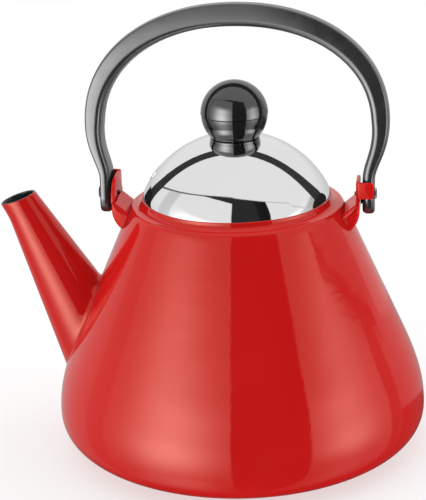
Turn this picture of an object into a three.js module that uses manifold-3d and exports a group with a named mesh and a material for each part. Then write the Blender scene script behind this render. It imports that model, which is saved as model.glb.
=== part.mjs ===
// Stovetop whistling kettle: a conical enamelled vessel with a spout, an arched handle and a domed lid.
// Millimetres, +Z up. The origin is on the vessel's axis, on the plane that the kettle stands on.
// The spout points to -X and the handle arches over the lid in the XZ plane.

import * as THREE from 'three';
import { mergeVertices } from 'three/addons/utils/BufferGeometryUtils.js';
import Module from 'manifold-3d';

const wasm = await Module();
wasm.setup();

// Fits and cuts shared by all pieces
const gap = 0.3; // left between two pieces that meet
const overrun = 3; // how far a cut passes beyond what it cuts

// Fineness
const vesselSteps = 52;
const knobSteps = 28;
const smallSteps = 20;
const curveSteps = 5;
const domeSteps = 7;
const cornerSteps = 3;
const rollSteps = 2;
const lipSteps = 4;

// Vessel
const bodyRadius = 108; // at the belt, the widest place
const beltHeight = 22;
const baseRadius = 86.5;
const shoulderRadius = 61.6;
const shoulderHeight = 142.5;
const rollWidth = 2.6; // rounded top edge of the cone
const rollRise = 1.9;
const lipRadius = 54.5;
const collarRise = 6.3; // lip above the shoulder
const lipWall = 1;
const shellWall = 1.5;
const ledgeDepth = 4.4; // lid ledge below the lip
const ledgeWidth = 3.9;
const flangeWidth = 6.5; // turned-in edge under the vessel
const plateWall = 1.6;
const plateOverlap = 5;

// Lock nib on the inside of the lip
const nibAzimuth = 212; // degrees from +X
const nibReach = 1.2;
const nibWidth = 3;
const nibHeight = 1.6;

// Spout, a cone round its own leaning axis
const spoutRootHeight = 68;
const spoutRootInset = 4.9; // the axis starts this far inside the cone's surface
const spoutLean = 26; // degrees from upright
const spoutLength = 85.7;
const spoutTail = 29; // the cone goes on this far below its root
const spoutRootRadius = 22.4;
const spoutMouthRadius = 9.9;
const spoutWall = 1.4;
const spoutLipReach = 1.6;
const spoutLipRise = 2.7;
const spoutLipLength = 11;
const spoutSteps = 28;

// Handle ears, folded sheet
const pivotRise = 7.1; // pivot above the shoulder
const earReach = 9.2; // the flange stands this far outside the shoulder's radius
const earSheet = 2;
const earTopRise = 9.9; // top of the flange above the pivot
const earCornerRadius = 13.6;
const earPlateAngle = 40; // degrees that the top plate falls towards the collar
const earSkirtDrop = 8.6; // lower end of the flange below the pivot
const earFootDrop = 18.8; // tip of the side walls below the pivot
const tabWidth = 8.2;
const tabHeight = 9.4;

// Handle
const handleLean = 10; // degrees back from upright, where the handle comes to rest
const handleRise = 108.3; // top of the arch above the pivot, along the handle
const archRise = 67; // top of the arch above its widest place
const archExponent = 2.13;
const handleBulge = 8.2; // widest place outside the legs
const topThickness = 13.6;
const sideThickness = 10.3;
const legThickness = 6.9;
const gripDepth = 19.6;
const legDepth = 19.4;
const legDrop = 11.6; // rounded end of a leg below its pivot
const legStraight = 8; // straight part of a leg above its pivot
const gripCrown = 1;
const outerEdgeRadius = 1.6;
const innerEdgeRadius = 3.2;

// Rivets, bushes and washers at the pivot
const rivetRadius = 2;
const rivetHeadRadius = 3.6;
const rivetHeadHeight = 1.2;
const rivetTailRadius = 2.8;
const bushWall = 0.7;
const pivotWasherRadius = 6;
const pivotWasherWall = 0.8;

// Lid dome and skirt
const domeWall = 1;
const domeCurveRise = 31.8; // top of the dome above its rounded edge
const domeWallRise = 3.8; // rounded edge above the lip
const domeEdgeInset = 0.6;
const skirtWall = 1;
const skirtDepth = 10;
const sealWall = 1;
const sealHeight = 3.4;

// Knob
const knobRadius = 19.15;
const knobSeamRise = 11.9; // seam above the top of the dome
const knobFootRadius = 14.3;
const knobBrim = 1.8; // level outer part of the knob's underside
const knobStep = 0.4; // the base is smaller than the cap at the seam
const knobWall = 2.5;
const knobFloor = 4;
const spigotWall = 1.8;
const spigotHeight = 2.6;
const knobWasherRadius = 12.3;
const knobWasherWall = 0.4;
const insertWall = 1.7;
const insertHeadWidth = 1.4;
const insertHeadHeight = 1.2;
const screwRadius = 2;
const screwHeadRadius = 4;
const screwHeadHeight = 2.4;
const screwReach = 9; // thread inside the knob
const screwWasherRadius = 6;
const screwWasherWall = 1;

// Whistle behind the dome's slot
const whistleElevation = 38.2; // degrees above level, from the centre of the dome's sphere
const padRadius = 5;
const padHeight = 0.5;
const slotWidth = 1.5;
const slotLength = 6;
const cupRadius = 9;
const cupWall = 1.2;
const cupDepth = 7;
const cupLedge = 2.3;
const discRadius = 7.5;
const discWall = 0.6;
const discRim = 0.8;
const whistleChamber = 3;
const toneHoleRadius = 1.2;

// Heights and radii that follow from the sizes above
const lipHeight = shoulderHeight + collarRise;
const lipBore = lipRadius - lipWall;
const ledgeHeight = lipHeight - ledgeDepth;
const neckRadius = lipBore - ledgeWidth;
const ledgeUnderside = ledgeHeight - shellWall;
const flangeRadius = baseRadius - flangeWidth;
const pivotHeight = shoulderHeight + pivotRise;
const earOuter = shoulderRadius + earReach;
const lean = THREE.MathUtils.degToRad(handleLean);
// Both ears' tabs meet the leaning leg at their top edge, one behind it and one in front
const tabFace = (legDepth / 2 + earTopRise * Math.sin(lean)) / Math.cos(lean) + gap;
const earHalfWidth = tabFace + earSheet;
const legInner = earOuter + gap + pivotWasherWall + gap;
const legOuter = legInner + legThickness;
const seatHeight = ledgeHeight + gap;
const lidRadius = lipBore - gap;
const domeEdgeRadius = lidRadius - domeEdgeInset;
const domeEdgeHeight = lipHeight + domeWallRise;
const domeTop = domeEdgeHeight + domeCurveRise;
const sphereRadius = (domeCurveRise ** 2 + domeEdgeRadius ** 2) / (2 * domeCurveRise);
const sphereCentre = domeTop - sphereRadius;
const sealRadius = neckRadius - gap;
const skirtRadius = sealRadius - sealWall - gap;
const knobSeam = domeTop + knobSeamRise;
const screwHole = screwRadius + gap;

const red = { color: 0xc8201e, roughness: 0.18, metalness: 0 };
const black = { color: 0x151515, roughness: 0.22, metalness: 0 };
const steel = { color: 0xc9cbcd, roughness: 0.12, metalness: 1 };
const darkSteel = { color: 0x3b3d3f, roughness: 0.35, metalness: 1 };
const brass = { color: 0xb9923f, roughness: 0.3, metalness: 1 };
const rubber = { color: 0x8c8c88, roughness: 0.7, metalness: 0 };

const point = (radius, height) => new THREE.Vector2(radius, height);
const radians = THREE.MathUtils.degToRad;
const mix = THREE.MathUtils.lerp;

// Closed triangle mesh as a solid that can be joined and cut
function solidOf(geometry) {
  geometry.deleteAttribute('normal');
  geometry.deleteAttribute('uv');
  const merged = mergeVertices(geometry);
  const corners = merged.index.array;
  const kept = [];
  for (let i = 0; i < corners.length; i += 3) {
    const [a, b, c] = corners.slice(i, i + 3);
    if (a !== b && b !== c && c !== a) {
      kept.push(a, b, c);
    }
  }
  return new wasm.Manifold(new wasm.Mesh({
    numProp: 3,
    vertProperties: merged.attributes.position.array,
    triVerts: new Uint32Array(kept),
  }));
}

function geometryOf(solid) {
  const mesh = solid.getMesh();
  const geometry = new THREE.BufferGeometry();
  geometry.setAttribute('position', new THREE.BufferAttribute(mesh.vertProperties, 3));
  geometry.setIndex(new THREE.BufferAttribute(mesh.triVerts, 1));
  geometry.computeVertexNormals();
  return geometry;
}

// Solid of revolution round Z; the outline runs anticlockwise, seen with the axis on the left
function turned(outline, steps) {
  return solidOf(new THREE.LatheGeometry(outline, steps).rotateX(Math.PI / 2));
}

// The same for an outline that closes on itself
function turnedRing(outline, steps) {
  return turned([...outline, outline[0]], steps);
}

function box(size, centre) {
  return solidOf(new THREE.BoxGeometry(...size).translate(...centre));
}

// Cylinder along X, from one x to another
function rodAlongX(radius, from, to, height) {
  const rod = new THREE.CylinderGeometry(radius, radius, to - from, smallSteps);
  return solidOf(rod.rotateZ(Math.PI / 2).translate((from + to) / 2, 0, height));
}

function arc(centre, radius, from, to, steps) {
  return Array.from({ length: steps + 1 }, (_, i) => {
    const angle = mix(radians(from), radians(to), i / steps);
    return point(centre.x + radius * Math.cos(angle), centre.y + radius * Math.sin(angle));
  });
}

// Skin over rings of equal count, with a fan over each end
function loft(rings) {
  const count = rings[0].length;
  const corners = rings.flat();
  const faces = [];
  for (let i = 0; i + 1 < rings.length; i += 1) {
    for (let j = 0; j < count; j += 1) {
      const here = i * count + j;
      const beside = i * count + ((j + 1) % count);
      faces.push(here, beside, beside + count, here, beside + count, here + count);
    }
  }
  const middle = (ring) => ring.reduce((sum, p) => sum.add(p), new THREE.Vector3()).divideScalar(count);
  const first = corners.push(middle(rings[0])) - 1;
  const last = corners.push(middle(rings.at(-1))) - 1;
  const lastRing = (rings.length - 1) * count;
  for (let j = 0; j < count; j += 1) {
    const beside = (j + 1) % count;
    faces.push(first, beside, j, last, lastRing + j, lastRing + beside);
  }
  const geometry = new THREE.BufferGeometry().setFromPoints(corners);
  geometry.setIndex(faces);
  return solidOf(geometry);
}

function piece(name, solid, finish) {
  const mesh = new THREE.Mesh(geometryOf(solid), new THREE.MeshStandardMaterial(finish));
  mesh.name = name;
  return mesh;
}

// Outer line of the vessel, from the edge of its base up to the shoulder

const coneFootRadiusShare = 0.754; // of the way from shoulder to belt
const coneFootHeightShare = 0.3485; // of the way from belt to shoulder
const baseCurveShares = { radius: 0.58, height: 0.18, rise: 0.41 };
const beltCurveShares = { rise: 0.33, run: 0.2 };
const rollCornerShare = 0.33;
const flareShare = 0.1;

const shoulder = point(shoulderRadius, shoulderHeight);
const belt = point(bodyRadius, beltHeight);
const coneFoot = point(
  mix(shoulderRadius, bodyRadius, coneFootRadiusShare),
  mix(beltHeight, shoulderHeight, coneFootHeightShare),
);
const coneSlope = (coneFoot.x - shoulder.x) / (shoulder.y - coneFoot.y);

function coneRadius(height) {
  return shoulderRadius + coneSlope * (shoulderHeight - height);
}

function wallLine() {
  const baseCurve = new THREE.CubicBezierCurve(
    point(baseRadius, 0),
    point(mix(baseRadius, bodyRadius, baseCurveShares.radius), beltHeight * baseCurveShares.height),
    point(bodyRadius, beltHeight * baseCurveShares.rise),
    belt,
  );
  const beltCurve = new THREE.CubicBezierCurve(
    belt,
    point(bodyRadius, mix(beltHeight, coneFoot.y, beltCurveShares.rise)),
    coneFoot.clone().lerp(shoulder, -beltCurveShares.run),
    coneFoot,
  );
  return [...baseCurve.getPoints(curveSteps), ...beltCurve.getPoints(curveSteps).slice(1), shoulder];
}

// The line moved outward by a distance, or inward by a negative one
function offsetLine(line, distance) {
  return line.map((here, i) => {
    const before = line[Math.max(i - 1, 0)];
    const after = line[Math.min(i + 1, line.length - 1)];
    const along = after.clone().sub(before).normalize();
    return point(here.x + along.y * distance, here.y - along.x * distance);
  });
}

// Rounded shoulder and the flare up to the lip
function collarLine() {
  const rollEnd = point(shoulderRadius - rollWidth, shoulderHeight + rollRise);
  const lip = point(lipRadius, lipHeight - lipWall / 2);
  const roll = new THREE.QuadraticBezierCurve(
    shoulder,
    point(shoulderRadius - rollWidth * rollCornerShare, rollEnd.y),
    rollEnd,
  );
  const flare = new THREE.QuadraticBezierCurve(
    rollEnd,
    point(mix(lip.x, rollEnd.x, flareShare), mix(rollEnd.y, lip.y, flareShare)),
    lip,
  );
  return [...roll.getPoints(rollSteps).slice(1), ...flare.getPoints(cornerSteps).slice(1)];
}

function vesselSolid() {
  const lipCentre = point(lipRadius - lipWall / 2, lipHeight - lipWall / 2);
  const lipEdge = arc(lipCentre, lipWall / 2, 0, 180, lipSteps);
  const inside = offsetLine(wallLine(), -shellWall).slice(1, -1).reverse();
  const wallInset = shellWall * Math.hypot(1, coneSlope);
  return turnedRing([
    point(flangeRadius, 0),
    ...wallLine(),
    ...collarLine(),
    ...lipEdge.slice(1),
    point(lipBore, ledgeHeight),
    point(neckRadius, ledgeHeight),
    point(neckRadius, ledgeUnderside),
    point(coneRadius(ledgeUnderside) - wallInset, ledgeUnderside),
    ...inside,
    point(baseRadius, shellWall),
    point(flangeRadius, shellWall),
  ], vesselSteps);
}

// What the vessel fills, with the gap that pieces outside it keep
function vesselKeepOut() {
  const outside = offsetLine([...wallLine(), ...collarLine()], gap);
  return turned([
    point(0, -gap),
    point(baseRadius, -gap),
    ...outside,
    point(lipRadius + gap, lipHeight),
    point(0, lipHeight),
  ], vesselSteps);
}

// Spout rings from the tail, inside the vessel, to the mouth

function spoutSolid(wall, extra) {
  const lean = radians(spoutLean);
  const along = new THREE.Vector3(-Math.sin(lean), 0, Math.cos(lean));
  const outward = new THREE.Vector3(-Math.cos(lean), 0, -Math.sin(lean));
  const across = new THREE.Vector3(0, -1, 0);
  const root = new THREE.Vector3(spoutRootInset - coneRadius(spoutRootHeight), 0, spoutRootHeight);
  const lipStart = spoutLength - spoutLipLength;
  const lipPlaces = Array.from(
    { length: curveSteps + 1 },
    (_, i) => mix(lipStart, spoutLength, i / curveSteps),
  );
  const places = [-spoutTail, ...lipPlaces];
  if (extra > 0) {
    places.push(spoutLength + extra);
  }
  const rings = places.map((place) => {
    const radius = mix(spoutRootRadius, spoutMouthRadius, place / spoutLength) - wall;
    const lipShare = Math.max(0, Math.min(1, (place - lipStart) / spoutLipLength)) ** 2;
    return Array.from({ length: spoutSteps }, (_, i) => {
      const angle = 2 * Math.PI * i / spoutSteps;
      const outerShare = Math.max(0, Math.cos(angle)) ** 2;
      const reach = radius + spoutLipReach * outerShare * lipShare;
      const rise = place + spoutLipRise * (1 + Math.cos(angle)) / 2 * lipShare;
      return root.clone()
        .addScaledVector(along, rise)
        .addScaledVector(outward, reach * Math.cos(angle))
        .addScaledVector(across, reach * Math.sin(angle));
    });
  });
  return loft(rings);
}

function spoutChannel() {
  return spoutSolid(spoutWall, overrun);
}

function lockNib() {
  const reach = nibReach + lipWall / 2;
  const nib = new THREE.BoxGeometry(reach, nibWidth, nibHeight);
  nib.translate(lipBore - nibReach + reach / 2, 0, lipHeight - (lipWall + nibHeight) / 2);
  return solidOf(nib.rotateZ(radians(nibAzimuth)));
}

function bodyShell() {
  const solid = vesselSolid().add(lockNib()).subtract(spoutChannel());
  return piece('body_shell', solid, red);
}

function basePlate() {
  const underside = shellWall + gap;
  const solid = turned([
    point(0, 0),
    point(flangeRadius - gap, 0),
    point(flangeRadius - gap, underside),
    point(flangeRadius + plateOverlap, underside),
    point(flangeRadius + plateOverlap, underside + plateWall),
    point(0, underside + plateWall),
  ], vesselSteps);
  return piece('base_plate', solid, darkSteel);
}

function spout() {
  const solid = spoutSolid(0, 0).subtract(spoutChannel()).subtract(vesselKeepOut());
  return piece('spout', solid, red);
}

// Ears: one pressing, used twice. The left one is turned half round, so its tab is behind the leg.

// Prism along Y, from one y to another, over an outline in X and Z
function extrudeAcross(outline, from, to) {
  const shape = new THREE.Shape(outline);
  const slab = new THREE.ExtrudeGeometry(shape, { depth: to - from, bevelEnabled: false });
  return solidOf(slab.rotateX(Math.PI / 2).translate(0, to, 0));
}

function earFlange() {
  const topHeight = pivotHeight + earTopRise;
  const corner = point(earHalfWidth - earCornerRadius, topHeight - earCornerRadius);
  const outline = new THREE.Shape([
    point(-earHalfWidth, pivotHeight - earSkirtDrop),
    point(earHalfWidth, pivotHeight - earSkirtDrop),
    ...arc(corner, earCornerRadius, 0, 90, curveSteps),
    point(-earHalfWidth, topHeight),
  ]);
  const plate = new THREE.ExtrudeGeometry(outline, { depth: earSheet, bevelEnabled: false });
  plate.rotateX(Math.PI / 2).rotateZ(Math.PI / 2).translate(earOuter - earSheet, 0, 0);
  return solidOf(plate);
}

const skirtShares = { reach: 0.9, rise: 0.35 }; // bend of the side walls' free edge

function earSolid() {
  const flangeInside = earOuter - earSheet;
  const slope = Math.tan(radians(earPlateAngle));
  const plateHeight = (x) => pivotHeight - rivetTailRadius - slope * (flangeInside - x);
  const plateDepth = earSheet / Math.cos(radians(earPlateAngle));
  const foot = pivotHeight - earFootDrop;
  const inner = shoulderRadius - rollWidth - earSheet;
  const footEnd = point(coneRadius(foot) - earSheet / 2, foot);
  const skirtEnd = point(earOuter, pivotHeight - earSkirtDrop);
  const skirtCurve = new THREE.QuadraticBezierCurve(
    footEnd,
    point(mix(footEnd.x, skirtEnd.x, skirtShares.reach), mix(foot, skirtEnd.y, skirtShares.rise)),
    skirtEnd,
  );
  const outer = extrudeAcross([
    point(inner, plateHeight(inner)),
    point(inner, foot),
    ...skirtCurve.getPoints(cornerSteps),
    point(earOuter, plateHeight(flangeInside)),
    point(flangeInside, plateHeight(flangeInside)),
  ], -earHalfWidth, earHalfWidth);
  const hollowEnd = inner - overrun;
  const hollow = extrudeAcross([
    point(hollowEnd, plateHeight(hollowEnd) - plateDepth),
    point(hollowEnd, foot - overrun),
    point(flangeInside, foot - overrun),
    point(flangeInside, plateHeight(flangeInside) - plateDepth),
  ], earSheet - earHalfWidth, earHalfWidth - earSheet);
  const tabTop = pivotHeight + earTopRise;
  const tab = box(
    [tabWidth + earSheet, earSheet, tabHeight],
    [earOuter + (tabWidth - earSheet) / 2, -tabFace - earSheet / 2, tabTop - tabHeight / 2],
  );
  const rivetHole = rodAlongX(rivetRadius + gap, flangeInside - overrun, earOuter + overrun, pivotHeight);
  return outer.subtract(hollow).add(earFlange()).add(tab).subtract(vesselKeepOut()).subtract(rivetHole);
}

function ears() {
  const right = piece('ear_right', earSolid(), red);
  const left = piece('ear_left', earSolid(), red);
  left.rotation.z = Math.PI;
  return [right, left];
}

// Pivot pieces. Each is turned round Z and laid along X, on the right side or the left.

function onPivot(name, outline, finish, side) {
  const mesh = piece(name, turned(outline, smallSteps), finish);
  mesh.rotation.y = side * Math.PI / 2;
  mesh.position.z = pivotHeight;
  return mesh;
}

function rivet(name, side) {
  const tail = earOuter - earSheet - gap;
  const head = legOuter + gap;
  return onPivot(name, [
    point(0, tail - rivetHeadHeight),
    point(rivetTailRadius, tail - rivetHeadHeight / 2),
    point(rivetTailRadius, tail),
    point(rivetRadius, tail),
    point(rivetRadius, head),
    point(rivetHeadRadius, head),
    point(rivetHeadRadius, head + rivetHeadHeight / 2),
    point(0, head + rivetHeadHeight),
  ], darkSteel, side);
}

function ringOutline(inner, outer, from, to) {
  return [point(inner, from), point(outer, from), point(outer, to), point(inner, to), point(inner, from)];
}

function pivotWasher(name, side) {
  const from = earOuter + gap;
  const outline = ringOutline(rivetRadius + gap, pivotWasherRadius, from, from + pivotWasherWall);
  return onPivot(name, outline, black, side);
}

function bush(name, side) {
  const bore = rivetRadius + gap;
  return onPivot(name, ringOutline(bore, bore + bushWall, legInner, legOuter), darkSteel, side);
}

// Handle, drawn upright: one section that changes along the arch, from one leg's end to the other's

function handleLine() {
  const widest = legOuter + handleBulge;
  const top = pivotHeight + handleRise;
  const bend = top - archRise;
  const legTop = pivotHeight + legStraight;
  const legEnd = pivotHeight - legDrop - overrun;
  const shares = { upper: 0.53, lower: 0.23, inset: 0.03 };
  const waist = new THREE.CubicBezierCurve(
    point(legOuter, legTop),
    point(mix(legOuter, widest, shares.inset), mix(legTop, bend, shares.lower)),
    point(widest, mix(bend, legTop, shares.upper)),
    point(widest, bend),
  );
  const quarter = Array.from({ length: domeSteps + 1 }, (_, i) => {
    const angle = radians(90) * i / domeSteps;
    const power = 2 / archExponent;
    return point(widest * Math.cos(angle) ** power, bend + archRise * Math.sin(angle) ** power);
  });
  const half = [point(legOuter, legEnd), ...waist.getPoints(curveSteps), ...quarter.slice(1)];
  const mirrored = half.slice(0, -1).reverse().map((p) => point(-p.x, p.y));
  half.at(-1).x = 0;
  return [...half, ...mirrored];
}

// Section with a slightly crowned outer face; x is the depth below that face, y runs across it
function gripSection(thickness, depth) {
  const half = depth / 2;
  const outer = point(gripCrown + outerEdgeRadius, half - outerEdgeRadius);
  const inner = point(thickness - innerEdgeRadius, half - innerEdgeRadius);
  const side = [
    ...arc(outer, outerEdgeRadius, 180, 90, cornerSteps),
    ...arc(inner, innerEdgeRadius, 90, 0, cornerSteps),
  ];
  const crown = point(0, 0);
  return [crown, ...side, ...side.map((p) => point(p.x, -p.y)).reverse()];
}

function gripRings() {
  const line = handleLine();
  const top = pivotHeight + handleRise;
  const bend = top - archRise;
  const legTop = pivotHeight + legStraight;
  return line.map((here, i) => {
    const before = line[Math.max(i - 1, 0)];
    const after = line[Math.min(i + 1, line.length - 1)];
    const along = after.clone().sub(before).normalize();
    const waistShare = THREE.MathUtils.clamp((here.y - legTop) / (bend - legTop), 0, 1);
    const archShare = THREE.MathUtils.clamp((here.y - bend) / archRise, 0, 1);
    const side = mix(legThickness, sideThickness, waistShare);
    const thickness = mix(side, topThickness, archShare);
    const depth = mix(legDepth, gripDepth, waistShare);
    return gripSection(thickness, depth).map((p) => new THREE.Vector3(
      here.x - along.y * p.x,
      p.y,
      here.y + along.x * p.x,
    ));
  });
}

// Removes the corners at the lower ends, so that each leg ends in a round
function legEndCutter() {
  const width = legOuter + overrun;
  const drop = legDepth / 2 + overrun * 2;
  const centre = pivotHeight - legDrop + legDepth / 2;
  const block = box([width * 2, legDepth + overrun * 2, drop], [0, 0, centre - drop / 2]);
  const round = new THREE.CylinderGeometry(legDepth / 2, legDepth / 2, width * 2 + overrun, knobSteps);
  return block.subtract(solidOf(round.rotateZ(Math.PI / 2).translate(0, 0, centre)));
}

function handleGrip() {
  const holeRadius = rivetRadius + gap + bushWall + gap;
  const hole = rodAlongX(holeRadius, -legOuter - overrun, legOuter + overrun, pivotHeight);
  const solid = loft(gripRings()).subtract(legEndCutter()).subtract(hole);
  return piece('handle_grip', solid, black);
}

// Lid

// Arc of the dome's sphere, grown by a distance, from one radius to another
function sphereLine(growth, from, to, steps) {
  const radius = sphereRadius + growth;
  return Array.from({ length: steps + 1 }, (_, i) => {
    const r = mix(from, to, i / steps);
    return point(r, sphereCentre + Math.sqrt(radius ** 2 - r ** 2));
  });
}

function domeLine(growth) {
  const edge = domeEdgeRadius + growth;
  const outer = lidRadius + growth;
  const sphere = sphereLine(growth, screwHole, edge, domeSteps);
  const start = sphere.at(-1);
  const slope = edge / (start.y - sphereCentre);
  const bend = point(outer, start.y - slope * (outer - edge));
  const end = point(outer, bend.y - (start.y - bend.y));
  const curve = new THREE.QuadraticBezierCurve(start, bend, end);
  return [...sphere, ...curve.getPoints(cornerSteps).slice(1), point(outer, seatHeight)];
}

// Moves a solid that stands on the sphere's centre so that +Z points through the whistle
function towardsWhistle(geometry) {
  return geometry.rotateY(radians(whistleElevation - 90)).translate(0, 0, sphereCentre);
}

function lidDome() {
  const shell = turnedRing([...domeLine(-domeWall), ...domeLine(0).reverse()], vesselSteps);
  const padTop = sphereRadius + padHeight;
  const padBase = sphereRadius - domeWall / 2;
  const pad = new THREE.CylinderGeometry(padRadius - padHeight, padRadius, padTop - padBase, smallSteps);
  pad.rotateX(Math.PI / 2).translate(0, 0, (padTop + padBase) / 2);
  const slotDepth = padHeight + domeWall + overrun * 2;
  const slot = new THREE.BoxGeometry(slotLength, slotWidth, slotDepth).translate(0, 0, sphereRadius);
  const solid = shell
    .add(solidOf(towardsWhistle(pad)))
    .subtract(solidOf(towardsWhistle(slot)))
    .subtract(nibNotch());
  return piece('lid_dome', solid, steel);
}

// Open slot in the dome's edge that lets the nib pass when the lid is lifted
function nibNotch() {
  const top = lipHeight - lipWall / 2 + gap;
  const height = top - seatHeight + overrun;
  const depth = domeWall + overrun;
  const notch = new THREE.BoxGeometry(depth, nibWidth + gap * 2, height);
  notch.translate(lidRadius, 0, top - height / 2);
  return solidOf(notch.rotateZ(radians(nibAzimuth)));
}

function lidSkirt() {
  const bore = skirtRadius - skirtWall;
  const outline = [
    point(bore, seatHeight - skirtDepth),
    point(skirtRadius, seatHeight - skirtDepth),
    point(skirtRadius, seatHeight),
    point(lidRadius - domeWall - gap, seatHeight),
    point(lidRadius - domeWall - gap, seatHeight + skirtWall),
    point(bore, seatHeight + skirtWall),
  ];
  return piece('lid_skirt', turnedRing(outline, vesselSteps), steel);
}

function lidSeal() {
  const top = seatHeight - gap;
  const outline = ringOutline(sealRadius - sealWall, sealRadius, top - sealHeight, top);
  return piece('lid_seal', turned(outline, vesselSteps), rubber);
}

function knobWasher() {
  const underside = sphereLine(gap, screwHole, knobWasherRadius, cornerSteps);
  const topside = sphereLine(gap + knobWasherWall, screwHole, knobWasherRadius, cornerSteps).reverse();
  return piece('knob_washer', turnedRing([...underside, ...topside], knobSteps), black);
}

const knobFootGrowth = gap + knobWasherWall + gap;
const insertRadius = screwHole + insertWall;
const insertHole = insertRadius + gap;
const bossTop = knobSeam + spigotHeight;

function knobBase() {
  const foot = sphereLine(knobFootGrowth, insertHole, knobFootRadius - knobBrim, cornerSteps);
  const footEnd = point(knobFootRadius, foot.at(-1).y);
  const waistEnd = point(knobRadius - knobStep, knobSeam - gap);
  const waistShares = { radius: 0.64, height: 0.5 };
  const waist = new THREE.QuadraticBezierCurve(
    footEnd,
    point(mix(footEnd.x, waistEnd.x, waistShares.radius), mix(footEnd.y, waistEnd.y, waistShares.height)),
    waistEnd,
  );
  const spigot = knobRadius - knobWall - gap * 2;
  const floor = footEnd.y + knobFloor;
  const boss = insertHole + insertHeadWidth;
  const solid = turnedRing([
    ...foot,
    ...waist.getPoints(curveSteps),
    point(spigot, waistEnd.y),
    point(spigot, bossTop),
    point(spigot - spigotWall, bossTop),
    point(spigot - spigotWall, floor),
    point(boss, floor),
    point(boss, bossTop),
    point(insertHole, bossTop),
  ], knobSteps);
  return piece('knob_base', solid, black);
}

function knobCap() {
  const centre = point(0, knobSeam);
  const outer = arc(centre, knobRadius, 0, 90, domeSteps);
  const inner = arc(centre, knobRadius - knobWall, 90, 0, domeSteps);
  outer.at(-1).x = 0;
  inner[0].x = 0;
  return piece('knob_cap', turned([inner.at(-1), ...outer, ...inner], knobSteps), black);
}

function knobInsert() {
  const bottom = domeTop + knobFootGrowth;
  const headBase = bossTop + gap;
  const solid = turnedRing([
    point(screwHole, bottom),
    point(insertRadius, bottom),
    point(insertRadius, headBase),
    point(insertRadius + insertHeadWidth, headBase),
    point(insertRadius + insertHeadWidth, headBase + insertHeadHeight),
    point(screwHole, headBase + insertHeadHeight),
  ], smallSteps);
  return piece('knob_insert', solid, brass);
}

const washerTop = sphereLine(-domeWall, 0, screwWasherRadius, 1).at(-1).y - gap;
const washerUnderside = washerTop - screwWasherWall;

function screwWasher() {
  const outline = ringOutline(screwHole, screwWasherRadius, washerUnderside, washerTop);
  return piece('screw_washer', turned(outline, smallSteps), steel);
}

function knobScrew() {
  const headTop = washerUnderside - gap;
  const tip = domeTop + screwReach;
  const solid = turned([
    point(0, headTop - screwHeadHeight),
    point(screwHeadRadius, headTop - screwHeadHeight / 2),
    point(screwHeadRadius, headTop),
    point(screwRadius, headTop),
    point(screwRadius, tip),
    point(0, tip),
  ], smallSteps);
  return piece('knob_screw', solid, steel);
}

// Whistle pieces, stacked along the line from the sphere's centre through the slot

function whistle() {
  const cupTop = Math.sqrt((sphereRadius - domeWall) ** 2 - cupRadius ** 2) - gap * 2;
  const cupBase = cupTop - cupDepth;
  const ledge = cupBase + cupWall;
  const bore = cupRadius - cupWall;
  const cup = turnedRing([
    point(bore - cupLedge, cupBase),
    point(cupRadius, cupBase),
    point(cupRadius, cupTop),
    point(bore, cupTop),
    point(bore, ledge),
    point(bore - cupLedge, ledge),
  ], smallSteps);
  const innerBase = ledge + gap;
  const inner = turned(ringOutline(toneHoleRadius, discRadius, innerBase, innerBase + discWall), smallSteps);
  const outerBase = innerBase + discWall + gap;
  const outerTop = outerBase + whistleChamber;
  const outer = turnedRing([
    point(toneHoleRadius, outerTop - discWall),
    point(discRadius - discRim, outerTop - discWall),
    point(discRadius - discRim, outerBase),
    point(discRadius, outerBase),
    point(discRadius, outerTop),
    point(toneHoleRadius, outerTop),
  ], smallSteps);
  const group = new THREE.Group();
  group.rotation.y = radians(whistleElevation - 90);
  group.position.z = sphereCentre;
  group.add(
    piece('whistle_cup', cup, steel),
    piece('whistle_inner_disc', inner, steel),
    piece('whistle_outer_disc', outer, steel),
  );
  return group;
}

const vessel = new THREE.Group();
vessel.add(bodyShell(), basePlate(), spout(), ...ears());
vessel.add(rivet('rivet_right', 1), rivet('rivet_left', -1));
vessel.add(pivotWasher('washer_right', 1), pivotWasher('washer_left', -1));

// The upright handle leans back round its pivot
const handle = new THREE.Group();
handle.rotation.x = -lean;
handle.position.set(0, -pivotHeight * Math.sin(lean), pivotHeight * (1 - Math.cos(lean)));
handle.add(handleGrip(), bush('bush_right', 1), bush('bush_left', -1));

const lid = new THREE.Group();
lid.add(lidDome(), lidSkirt(), lidSeal(), knobWasher(), knobBase(), knobCap());
lid.add(knobInsert(), screwWasher(), knobScrew(), whistle());

const group = new THREE.Group();
group.add(vessel, handle, lid);

export default group;
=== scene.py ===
# %% [markdown]
# # A stovetop whistling kettle
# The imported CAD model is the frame: it says where every piece is and which piece moves.
# Each cell below makes one piece or one finish. The pieces that show get a smoother shape than the
# CAD solids have, because polished metal and enamel give every flat facet away.

# %% Load the frame
import math

import bmesh
import bpy
from mathutils import Matrix, Vector


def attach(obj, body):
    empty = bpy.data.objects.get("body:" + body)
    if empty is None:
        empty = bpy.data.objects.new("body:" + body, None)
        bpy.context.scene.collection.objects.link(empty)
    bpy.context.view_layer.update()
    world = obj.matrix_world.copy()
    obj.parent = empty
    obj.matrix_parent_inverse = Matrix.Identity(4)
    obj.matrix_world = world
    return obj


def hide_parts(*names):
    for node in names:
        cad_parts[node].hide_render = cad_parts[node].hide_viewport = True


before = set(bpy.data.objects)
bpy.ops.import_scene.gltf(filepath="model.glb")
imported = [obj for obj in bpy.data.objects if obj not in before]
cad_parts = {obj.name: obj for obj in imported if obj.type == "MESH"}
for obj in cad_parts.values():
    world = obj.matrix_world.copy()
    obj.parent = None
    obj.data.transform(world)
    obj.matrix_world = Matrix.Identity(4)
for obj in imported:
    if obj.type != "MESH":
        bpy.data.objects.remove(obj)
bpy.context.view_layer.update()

# %% [markdown]
# ## The camera
# The picture was taken a little from above and slightly from the right. The camera's place, turn and
# lens were found from the ellipses of the base, the lip and the knob.

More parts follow.
